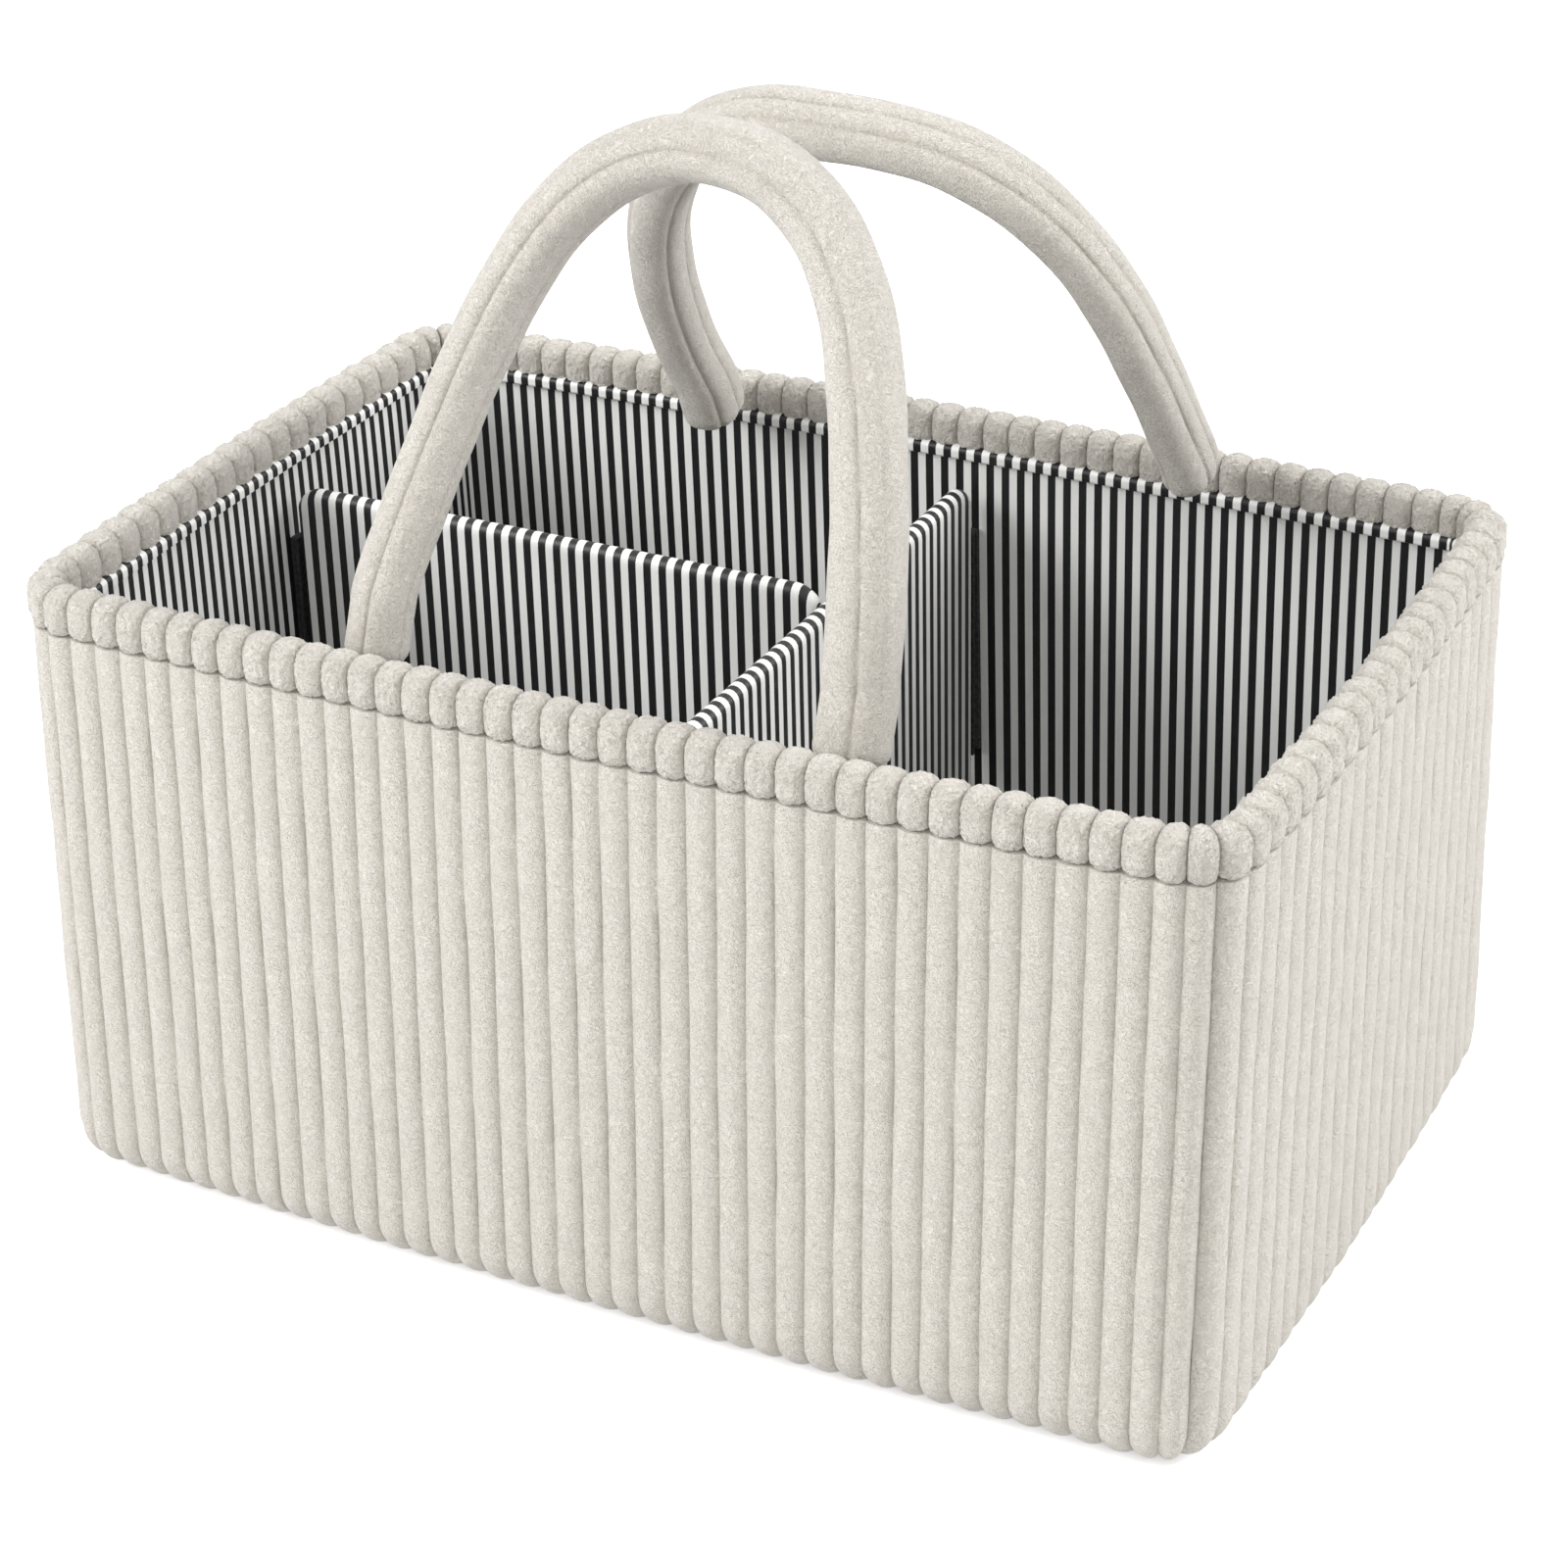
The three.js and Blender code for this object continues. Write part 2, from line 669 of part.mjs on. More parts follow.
// How far from the middle the hinge line stands, so that the tip of the strap's end, where its
// lobes are thickest, lies against the facing
function pivotDistance(shift, lean) {
  const tipRise = strapWidth / 2 - Math.sqrt((strapWidth / 2) ** 2 - (strapWidth / 4) ** 2);
  const seatHeight = strapEndHeight + turnRadius * Math.sin(lean) + tipRise * Math.cos(lean);
  const legX = Math.abs(shift) + handleSpan / 2;
  const bow = frontBow * (1 - (legX / (tubLength / 2)) ** 2);
  const seat = halfDepthAt(seatHeight) + bow - facingInnerDepth - clearance;
  return seat - turnRadius / Math.cos(lean) - (pivotHeight - seatHeight) * Math.tan(lean);
}

function addHandle(side, facing, shift, leanDegrees) {
  const lean = THREE.MathUtils.degToRad(leanDegrees);
  const frame = new THREE.Group();
  frame.position.set(shift, facing * pivotDistance(shift, lean), pivotHeight);
  frame.rotation.set(facing > 0 ? lean : -lean, 0, 0);
  caddy.add(frame);
  addPiece(`handle_${side}_sleeve`, handleSleeve(), plush, frame);
  addPiece(`handle_${side}_core`, handleCore(), foam, frame);
  for (const [end, sign] of [["left", -1], ["right", 1]]) {
    const piece = addPiece(`handle_${side}_end_${end}`, handleEnd(facing > 0 ? -lean : lean), plush, frame);
    piece.position.x = (sign * handleSpan) / 2;
  }
}

addHandle("front", -1, frontHandleShift, frontHandleLean);
addHandle("back", 1, backHandleShift, backHandleLean);

export default caddy;
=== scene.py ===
"""Looks of a soft diaper caddy around its CAD frame: ribbed plush walls, a rolled rim, a striped
lining, padded dividers and padded handle straps. Lengths are metres, in the frame's axes."""

import json
import math

import bpy
import numpy as np
from mathutils import Matrix, Vector


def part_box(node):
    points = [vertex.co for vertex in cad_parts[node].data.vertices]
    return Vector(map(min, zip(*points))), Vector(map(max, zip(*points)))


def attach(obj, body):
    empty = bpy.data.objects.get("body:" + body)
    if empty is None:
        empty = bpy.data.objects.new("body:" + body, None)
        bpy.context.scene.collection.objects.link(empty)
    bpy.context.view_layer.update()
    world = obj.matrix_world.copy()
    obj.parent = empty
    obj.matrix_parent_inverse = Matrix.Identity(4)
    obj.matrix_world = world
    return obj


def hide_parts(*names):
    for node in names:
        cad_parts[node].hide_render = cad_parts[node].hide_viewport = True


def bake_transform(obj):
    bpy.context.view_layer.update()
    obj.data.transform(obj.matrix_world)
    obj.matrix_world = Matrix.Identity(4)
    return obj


bl_info = {
    "name": "Diaper caddy",
    "version": (1, 0, 0),
    "blender": (4, 5, 0),
    "location": "View3D > Sidebar > Caddy",
    "description": "Makes the plush, lining, dividers and straps of a soft diaper caddy",
    "category": "Object",
}

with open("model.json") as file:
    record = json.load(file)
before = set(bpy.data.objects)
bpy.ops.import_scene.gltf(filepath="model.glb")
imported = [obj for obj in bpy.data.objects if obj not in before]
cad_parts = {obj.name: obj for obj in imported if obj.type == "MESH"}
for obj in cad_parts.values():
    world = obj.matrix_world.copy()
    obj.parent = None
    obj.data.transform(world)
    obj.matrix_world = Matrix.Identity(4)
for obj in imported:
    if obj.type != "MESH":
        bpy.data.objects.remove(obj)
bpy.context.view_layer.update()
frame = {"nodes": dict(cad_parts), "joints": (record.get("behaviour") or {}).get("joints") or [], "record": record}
MM = 0.001


def linear(hex_colour):
    """The linear colour of an sRGB hex value such as #E9E5DC."""
    shares = [int(hex_colour[i : i + 2], 16) / 255 for i in (1, 3, 5)]
    return tuple(s / 12.92 if s <= 0.04045 else ((s + 0.055) / 1.055) ** 2.4 for s in shares)


def length(name, text, default):
    """A setting in metres."""
    return bpy.props.FloatProperty(
        name=name, description=text, default=default, unit="LENGTH", precision=4
    )


def colour(name, text, hex_colour):
    """A setting that holds a colour."""
    return bpy.props.FloatVectorProperty(
        name=name, description=text, default=linear(hex_colour), subtype="COLOR", size=3, min=0, max=1
    )


def number(name, text, default):
    """A setting that holds a plain number."""
    return bpy.props.FloatProperty(name=name, description=text, default=default)


def count(name, text, default):
    """A setting that holds a whole number."""
    return bpy.props.IntProperty(name=name, description=text, default=default, min=1)


class TubSettings(bpy.types.PropertyGroup):
    tub_length: length("Tub length", "Length of the tub over the ribs", 380 * MM)
    tub_height: length("Tub height", "Height of the tub to the top of its rim", 196 * MM)
    rim_depth: length("Rim depth", "Depth of the tub over the ribs at the rim", 234 * MM)
    base_depth: length("Base depth", "Depth of the tub over the ribs at the floor", 246 * MM)
    base_fullness: length("Base fullness", "How far the plush stands proud of that at the floor", 3 * MM)
    corner_radius: length("Corner radius", "Radius of the upright corners", 18 * MM)
    front_bow: length("Long wall bow", "How far a long wall bows out in its middle", 4 * MM)
    side_bow: length("Short wall bow", "How far a short wall bows out in its middle", 3 * MM)
    curl_radius: length("Curl radius", "Radius at which the ribs turn under the bottom", 14 * MM)
    long_ribs: count("Long wall ribs", "Ribs along the front and the back wall", 42)
    short_ribs: count("Short wall ribs", "Ribs along each short wall", 22)
    rib_groove: length("Rib groove", "Depth of the sewn groove between two ribs", 1.7 * MM)
    corner_groove: length("Corner seam", "Depth of the sewn seam at each corner", 2.6 * MM)
    lobe_groove: length("Lobe groove", "How far the rim is drawn in between two lobes", 2.7 * MM)
    # Painted shade: how far the plush in a groove turns to its shaded colour
    painted_groove_shade: number("Groove shade", "How much of the darker plush shows in a groove", 0.3)
    plush: colour("Plush", "Colour of the crests of the plush", "#F4F0E8")
    # The plush's colour under painted shade, in its grooves, seams and the low spots of its pile
    painted_plush_shade: colour("Plush in grooves", "Colour of the pile down in the grooves", "#D8D1C5")


class LiningSettings(bpy.types.PropertyGroup):
    stripe_period: length("Stripe period", "Width of one black and one white stripe", 5.3 * MM)
    black_share: number("Black share", "Share of the period that is black", 0.5)
    white: colour("White stripe", "Colour of the white stripes", "#F2F2F0")
    black: colour("Black stripe", "Colour of the black stripes", "#151517")


class StrapSettings(bpy.types.PropertyGroup):
    front_left_drop: length("Front left drop", "How far below the rim's top that end reaches", 13 * MM)
    front_right_drop: length("Front right drop", "How far below the rim's top that end reaches", 13 * MM)
    thickness: length("Strap thickness", "Thickness of a strap across its arch", 21.4 * MM)
    front_left: length("Front left foot", "Place of the front handle's left leg along X", -76.5 * MM)
    front_right: length("Front right foot", "Place of the front handle's right leg along X", 72.7 * MM)
    front_rise: length("Front rise", "Height of the front arch above its hinge line", 135 * MM)
    front_lean: number("Front lean", "Inward lean of the front handle in degrees", 22)
    front_left_power: number("Front left power", "How square the arch is there: 2 is an ellipse", 2.02)
    front_right_power: number("Front right power", "How square the arch is there: 2 is an ellipse", 2.25)
    front_skew: length("Front skew", "How far to the right the top of the arch has sunk", 6 * MM)
    front_swing: length("Front swing", "How far the right shoulder stands out and the left one in", 11 * MM)
    front_left_width: length("Front left width", "Width of the strap at its left leg", 16.6 * MM)
    front_right_width: length("Front right width", "Width of the strap at its right leg", 21.5 * MM)
    front_twist: number("Front twist", "Turn of the strap's seams at its right leg in degrees", -30)
    back_left_drop: length("Back left drop", "How far below the rim's top that end reaches", 8.5 * MM)
    back_right_drop: length("Back right drop", "How far below the rim's top that end reaches", 0.5 * MM)
    back_left: length("Back left foot", "Place of the back handle's left leg along X", -68.5 * MM)
    back_right: length("Back right foot", "Place of the back handle's right leg along X", 96.3 * MM)
    back_rise: length("Back rise", "Height of the back arch above its hinge line", 117 * MM)
    back_lean: number("Back lean", "Inward lean of the back handle in degrees", 24)
    back_left_power: number("Back left power", "How square the arch is there: 2 is an ellipse", 2.04)
    back_right_power: number("Back right power", "How square the arch is there: 2 is an ellipse", 3.4)
    back_skew: length("Back skew", "How far to the right the top of the arch has sunk", -22.9 * MM)
    back_swing: length("Back swing", "How far the right shoulder stands out and the left one in", 1 * MM)
    back_left_width: length("Back left width", "Width of the strap at its left leg", 19.6 * MM)
    back_right_width: length("Back right width", "Width of the strap at its right leg", 16 * MM)
    back_twist: number("Back twist", "Turn of the strap's seams at its right leg in degrees", -20)


class StageSettings(bpy.types.PropertyGroup):
    floor: colour("Floor", "Colour of the floor", "#F2F2F2")
    dome: number("Dome light", "Strength of the light from all round", 0.66)
    key: number("Key light", "Power of the large lamp at the left", 31.0)
    fill: number("Fill light", "Power of the large lamp above, which reaches into the tub", 6.5)
    side: number("Side light", "Power of the large lamp behind the right side", 29.0)
    focal_pixels: number("Focal length", "Focal length in pixels of a 1600 pixel frame", 3863.5)
    camera_yaw: number("Camera yaw", "Turn of the camera to the left in degrees", 27.654)
    camera_pitch: number("Camera pitch", "Downward tilt of the camera in degrees", 28.207)
    camera_roll: number("Camera roll", "Roll of the camera in degrees", -1.45)


SETTINGS = {
    "caddy_tub": TubSettings,
    "caddy_lining": LiningSettings,
    "caddy_straps": StrapSettings,
    "caddy_stage": StageSettings,
}

FRAME_PIXELS = 1600
SENSOR_WIDTH_MM = 36
CAMERA_PLACE = (0.47175, -0.89587, 0.65805)
LAMP_PLACES = {"key": (-1.3, -1.1, 1.3), "fill": (0.5, -0.7, 1.9), "side": (1.5, 0.9, 1.2)}
LAMP_SIZE = 1.2
LAMP_TARGET = (0, 0, 0.1)

# Each wall runs from the middle of one corner to the middle of the next, anticlockwise
WALL_TURN = {"front": -math.pi / 2, "right": 0.0, "back": math.pi / 2, "left": math.pi}
LONG_WALLS = ("front", "back")


def settings(name):
    """One group of the scene's settings."""
    return getattr(bpy.context.scene, name)


# Materials


def node(tree, kind, options=None, **inputs):
    """Adds one shader node, with its options set and its inputs filled or linked. An input is given
    by its name or, where its name is not unique, by the letter i and its number."""
    made = tree.nodes.new("ShaderNode" + kind)
    for name, value in (options or {}).items():
        setattr(made, name, value)
    for name, value in inputs.items():
        by_number = name[0] == "i" and name[1:].isdigit()
        socket = made.inputs[int(name[1:]) if by_number else name]
        if isinstance(value, bpy.types.NodeSocket):
            tree.links.new(value, socket)
        else:
            socket.default_value = value
    return made


def new_material(name, sockets):
    """A material with only its surface shader, whose sockets are set here."""
    made = bpy.data.materials.new(name)
    made.use_nodes = True
    surface = made.node_tree.nodes["Principled BSDF"]
    for socket, value in sockets.items():
        surface.inputs[socket].default_value = value
    return made, made.node_tree, surface


def solid(rgb):
    """A colour without transparency."""
    return (*rgb, 1.0)


def plush_material():
    """Sheared polyester plush, knitted: a soft matt pile in small clumps, lighter where it stands up and darker
    down in the sewn grooves and its low spots. That darkening is painted shade, beside a little real darkening of
    the pile pressed down in the grooves."""
    tub = settings("caddy_tub")
    made, tree, surface = new_material(
        "sheared_plush",
        {"Roughness": 0.95, "Specular IOR Level": 0.15, "Sheen Weight": 0.6, "Sheen Roughness": 0.45},
    )
    clump_size = 4.5 * MM
    tuft_size = 1.3 * MM
    fibre_size = 0.5 * MM
    place = node(tree, "TexCoord").outputs["Object"]
    clumps = node(tree, "TexNoise", Vector=place, Scale=1 / clump_size, Detail=2.0, Roughness=0.6)
    tufts = node(
        tree, "TexNoise", Vector=place, Scale=1 / tuft_size, Detail=3.0, Roughness=0.75, Distortion=2.5
    )
    fibres = node(tree, "TexNoise", Vector=place, Scale=1 / fibre_size, Detail=2.0, Roughness=0.7)
    # The heights between which each layer's low spots fade out, and the share by which painted shade darkens them
    shades = ((fibres, 0.35, 0.6, 0.5), (tufts, 0.35, 0.6, 0.6), (clumps, 0.3, 0.7, 0.2))
    # Painted shade in the grooves and seams, from the groove attribute, to which the painted shade of the pile's
    # low spots is added
    dark = node(tree, "Attribute", {"attribute_name": "groove"}).outputs["Fac"]
    for layer, low, high, share in shades:
        spots = node(tree, "MapRange", i0=layer.outputs[0], i1=low, i2=high, i3=share, i4=0.0)
        total = node(tree, "Math", {"operation": "ADD", "use_clamp": True}, i0=dark, i1=spots.outputs[0])
        dark = total.outputs[0]
    # The plush turns towards its colour under painted shade as far as the painted shade reaches
    mixed = node(
        tree, "Mix", {"data_type": "RGBA"}, i0=dark, i6=solid(tub.plush), i7=solid(tub.painted_plush_shade)
    )
    tree.links.new(mixed.outputs[2], surface.inputs["Base Color"])
    # How strongly and how far each layer stands out, on top of the one before
    below = {}
    reliefs = ((clumps, 0.7, 0.9 * MM), (tufts, 0.9, 0.9 * MM), (fibres, 0.9, 0.45 * MM))
    for layer, strength, reach in reliefs:
        bump = node(tree, "Bump", Strength=strength, Distance=reach, Height=layer.outputs[0], **below)
        below = {"Normal": bump.outputs[0]}
    tree.links.new(bump.outputs[0], surface.inputs["Normal"])
    return made


def lining_material():
    """Printed polyester twill: smooth thin cloth with a soft shine along its threads. The stripes
    follow the cloth's own UV map, whose unit is one period."""
    lining = settings("caddy_lining")
    made, tree, surface = new_material("printed_twill", {"Roughness": 0.42})
    threads_in_period = 8
    darkest, lightest = 0.94, 1.04
    place = node(tree, "UVMap").outputs[0]
    along = node(tree, "SeparateXYZ", i0=place)
    inside = node(tree, "Math", {"operation": "FRACT"}, i0=along.outputs[0])
    is_black = node(
        tree, "Math", {"operation": "LESS_THAN"}, i0=inside.outputs[0], i1=lining.black_share
    ).outputs[0]
    mixed = node(
        tree, "Mix", {"data_type": "RGBA"}, i0=is_black, i6=solid(lining.white), i7=solid(lining.black)
    )
    # Painted light and shade of the slack cloth: broad lighter and darker bands along it
    slack = node(tree, "TexNoise", Vector=place, Scale=0.35, Detail=2.0)
    painted_slack_shade = node(tree, "MapRange", i0=slack.outputs[0], i1=0.3, i2=0.7, i3=darkest, i4=lightest)
    multiply = {"data_type": "RGBA", "blend_type": "MULTIPLY"}
    shaded = node(tree, "Mix", multiply, i0=1.0, i6=mixed.outputs[2], i7=painted_slack_shade.outputs[0])
    tree.links.new(shaded.outputs[2], surface.inputs["Base Color"])
    turns = 2 * math.pi * threads_in_period
    warp = node(tree, "Math", {"operation": "MULTIPLY"}, i0=along.outputs[0], i1=turns)
    ridge = node(tree, "Math", {"operation": "SINE"}, i0=warp.outputs[0])
    weave = node(tree, "Bump", Strength=0.12, Distance=0.15 * MM, Height=ridge.outputs[0])
    tree.links.new(weave.outputs[0], surface.inputs["Normal"])
    return made


def board_material():
    """Grey board: pressed paper fibre, dull, with small flecks."""
    made, tree, surface = new_material("grey_board", {"Roughness": 0.88})
    fleck_size = 1.5 * MM
    place = node(tree, "TexCoord").outputs["Object"]
    flecks = node(tree, "TexNoise", Vector=place, Scale=1 / fleck_size, Detail=4.0)
    light = solid(linear("#C9BBA0"))
    dark = solid(linear("#A8977A"))
    mixed = node(tree, "Mix", {"data_type": "RGBA"}, i0=flecks.outputs[0], i6=light, i7=dark)
    tree.links.new(mixed.outputs[2], surface.inputs["Base Color"])
    rough = node(tree, "Bump", Strength=0.3, Distance=0.1 * MM, Height=flecks.outputs[0])
    tree.links.new(rough.outputs[0], surface.inputs["Normal"])
    return made


def tape_material():
    """Hook and loop tape: black nylon with a close field of small hooks, with painted light on the hook tops and
    painted shade in the gaps between them.
    """
    made, tree, surface = new_material("nylon_hook_tape", {"Roughness": 0.7})
    hook_spacing = 1.2 * MM
    place = node(tree, "TexCoord").outputs["Object"]
    hooks = node(tree, "TexVoronoi", Vector=place, Scale=1 / hook_spacing)
    # Painted light and shade: lighter at each hook's top, darker in the gaps between hooks
    top = solid(linear("#3A3A3C"))
    shaded_gap = solid(linear("#161618"))
    mixed = node(tree, "Mix", {"data_type": "RGBA"}, i0=hooks.outputs[0], i6=top, i7=shaded_gap)
    tree.links.new(mixed.outputs[2], surface.inputs["Base Color"])
    pile = node(tree, "Bump", {"invert": True}, Strength=0.8, Distance=0.4 * MM, Height=hooks.outputs[0])
    tree.links.new(pile.outputs[0], surface.inputs["Normal"])
    return made


def material(name):
    """One of the object's materials, made when it is first asked for."""
    makers = {
        "sheared_plush": plush_material,
        "printed_twill": lining_material,
        "grey_board": board_material,
        "nylon_hook_tape": tape_material,
    }
    return bpy.data.materials.get(name) or makers[name]()


# Shaping


def grid_piece(name, columns, rows, place):
    """A grid whose points are put where place(u, v) says, with u and v from 0 to 1."""
    bpy.ops.object.select_all(action="DESELECT")
    bpy.ops.mesh.primitive_grid_add(x_subdivisions=columns, y_subdivisions=rows, size=1)
    piece = bpy.context.object
    piece.name = name
    piece.data.name = name
    flat = np.zeros(len(piece.data.vertices) * 3)
    piece.data.vertices.foreach_get("co", flat)
    flat = flat.reshape(-1, 3)
    u = np.round(np.clip(flat[:, 0] + 0.5, 0, 1), 6)
    v = np.round(np.clip(flat[:, 1] + 0.5, 0, 1), 6)
    # place also gives each point's painted shade, which is kept in the groove attribute for the plush material
    points, groove = place(u, v)
    piece.data.vertices.foreach_set("co", points.ravel())
    shade = piece.data.attributes.new("groove", "FLOAT", "POINT")
    shade.data.foreach_set("value", np.clip(groove, 0, 1).astype(np.float32))
    return piece


def stripe_uv(piece, run, shift=0.0):
    """Makes one unit of the UV map one stripe period along the run, moved by a share of a period."""
    layer = piece.data.uv_layers.active.data
    uv = np.zeros(len(layer) * 2, np.float32)
    layer.foreach_get("uv", uv)
    uv[0::2] = uv[0::2] * (run / settings("caddy_lining").stripe_period) + shift
    layer.foreach_set("uv", uv)


def close_up(piece):
    """Joins edges that meet, closes open ends and turns all faces outwards."""
    touching = 0.01 * MM
    sharp = math.radians(50)
    bpy.ops.object.select_all(action="DESELECT")
    piece.select_set(True)
    bpy.context.view_layer.objects.active = piece
    bpy.ops.object.mode_set(mode="EDIT")
    bpy.ops.mesh.select_all(action="SELECT")
    bpy.ops.mesh.remove_doubles(threshold=touching)
    bpy.ops.mesh.select_all(action="SELECT")
    bpy.ops.mesh.fill_holes(sides=0)
    bpy.ops.mesh.select_all(action="SELECT")
    bpy.ops.mesh.normals_make_consistent(inside=False)
    bpy.ops.object.mode_set(mode="OBJECT")
    bpy.ops.object.shade_smooth_by_angle(angle=sharp)


def dress(piece, body, slot, look, *nodes):
    """Gives a finished piece its material and, when a body is given, ties it to that body; it hides the frame's
    nodes that it stands for.
    """
    piece.data.materials.clear()
    piece.data.materials.append(material(look))
    if body:
        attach(piece, body)
    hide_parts(*nodes)


def wander(position, phases, wavelength):
    """A slow, smooth, repeatable waver from -1 to 1."""
    share, quicker = 0.6, 2.3
    turn = 2 * math.pi * position / wavelength
    return (np.sin(turn + phases[0]) + share * np.sin(quicker * turn + phases[1])) / (1 + share)


# The tub's walls


def half_depth(z, full):
    """Half the tub's depth at a height; full is 1 for the stuffed plush and 0 for the layers inside."""
    tub = settings("caddy_tub")
    share = z / rim_top()
    plain = (tub.base_depth + (tub.rim_depth - tub.base_depth) * share) / 2
    return plain + full * tub.base_fullness * (1 - share)


def rim_top():
    """Height of the top of the plush rim."""
    return settings("caddy_tub").tub_height


def tub_heights(node_name):
    """The lowest and highest point of one of the tub's nodes, with the plush rim as full as it stands."""
    low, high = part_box(node_name)
    fuller = rim_top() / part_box("rim_roll_front")[1].z
    return low.z * fuller, high.z * fuller


def rib_count(side):
    """Ribs along one wall."""
    tub = settings("caddy_tub")
    return tub.long_ribs if side in LONG_WALLS else tub.short_ribs


def run_length(side, z, full=0):
    """Length of a wall's crest line from the middle of one corner to the middle of the next."""
    radius = settings("caddy_tub").corner_radius
    along = settings("caddy_tub").tub_length / 2 if side in LONG_WALLS else half_depth(z, full)
    return 2 * (along - radius) + radius * math.pi / 2


def wall_point(side, share, depth, z, full=0):
    """Points on a wall at a share of its run, a depth below the crests and a height."""
    tub = settings("caddy_tub")
    is_long = side in LONG_WALLS
    along = tub.tub_length / 2 if is_long else half_depth(z, full)
    out = half_depth(z, full) if is_long else tub.tub_length / 2
    radius = tub.corner_radius
    straight = along - radius
    run = (share - 0.5) * run_length(side, z, full)
    angle = np.maximum(0, np.abs(run) - straight) / radius
    sign = np.sign(run)
    crest_x = sign * (np.minimum(np.abs(run), straight) + radius * np.sin(angle))
    crest_y = out - radius + radius * np.cos(angle)
    own_bow, side_bow = (tub.front_bow, tub.side_bow) if is_long else (tub.side_bow, tub.front_bow)
    x = crest_x + sign * side_bow * (1 - (crest_y / out) ** 2) - sign * depth * np.sin(angle)
    y = crest_y + own_bow * (1 - (crest_x / along) ** 2) - depth * np.cos(angle)
    cos, sin = math.cos(WALL_TURN[side]), math.sin(WALL_TURN[side])
    return np.stack([y * cos - x * sin, y * sin + x * cos, z + 0 * x], axis=1)


def swell(across):
    """How far a stuffed channel falls from its crest to its seam: 0 in its middle, 1 at a seam."""
    roundness = 2.1
    return 1 - (1 - across**2) ** (1 / roundness)


def flat_swell(across):
    """The same for a flatter, board-backed channel, which has no sharp crease at its seam."""
    return 0.8 * across**2 + 0.2 * across**6


def seam_shadow(across):
    """How much painted shade darkens the pile across a channel: most at its seams."""
    return settings("caddy_tub").painted_groove_shade * np.abs(across) ** 4


def rib_lines(side, u, z, seed):
    """For points at u along a wall: the share with the ribs' slight waver, the place across the rib
    from -1 to 1, the rib's number and whether the nearest seam is a corner seam."""
    rounding = 1e-6
    seam_crowding = 0.09
    ribs = rib_count(side)
    rib = np.minimum(np.floor(u * ribs + rounding), ribs - 1).astype(int)
    inside = u * ribs - rib
    eased = inside - seam_crowding * np.sin(2 * math.pi * inside)
    phases = np.random.default_rng(seed).uniform(0, 2 * math.pi, (2, ribs + 1))
    waver = 0.18 * MM / run_length(side, 0)
    wavelength = 130 * MM
    left = wander(z, phases[:, rib], wavelength) * (rib > 0)
    right = wander(z, phases[:, rib + 1], wavelength) * (rib < ribs - 1)
    share = (rib + eased) / ribs + waver * (left * (1 - eased) + right * eased)
    at_corner = ((rib == 0) & (eased < 0.5)) | ((rib == ribs - 1) & (eased > 0.5))
    return share, 2 * eased - 1, rib, at_corner


def make_wall(side):
    """The padded plush of one wall: sewn ribs that tuck in under the rim and curl under the bottom."""
    tub = settings("caddy_tub")
    low, high = tub_heights(f"outer_cover_{side}")
    radius = tub.curl_radius
    centre = low + radius
    curl = radius * math.pi / 2
    under_hem = 3 * MM
    top = high + under_hem
    outer_path = curl + top - centre
    back_depth = 5.6 * MM
    outer_share = 0.93
    tuck = 3.5 * MM
    tuck_depth = 0.5 * MM
    unevenness, wavelength = 0.2 * MM, 70 * MM
    ribs = rib_count(side)
    seed = list(WALL_TURN).index(side)
    fullness = np.random.default_rng(seed + 10).uniform(0, 2 * math.pi, (2, ribs))

    def place(u, v):
        is_outer = v <= outer_share
        path = np.where(is_outer, v / outer_share, (1 - v) / (1 - outer_share)) * outer_path
        z_mid = np.maximum(centre + path - curl, centre)
        share, across, rib, at_corner = rib_lines(side, u, z_mid, seed)
        seam = np.where(at_corner, tub.corner_groove, tub.rib_groove)
        depth = seam * flat_swell(across) + unevenness * wander(z_mid, fullness[:, rib], wavelength)
        into_seam = np.clip(1 - (top - z_mid) / (tuck + under_hem), 0, 1)
        depth = np.where(is_outer, depth + tuck_depth * into_seam**2, back_depth)
        angle = np.maximum(0, curl - path) / radius
        reach = radius - depth
        inset = np.where(angle > 0, radius - reach * np.cos(angle), depth)
        z = np.where(angle > 0, centre - reach * np.sin(angle), centre + path - curl)
        # Painted shade at the rib seams goes out with the points
        return wall_point(side, share, inset, z, np.where(is_outer, 1, 0)), seam_shadow(across)

    piece = grid_piece(f"plush_wall_{side}", columns=ribs * 10, rows=72, place=place)
    close_up(piece)
    dress(piece, "tub", "plush", "sheared_plush", f"outer_cover_{side}")


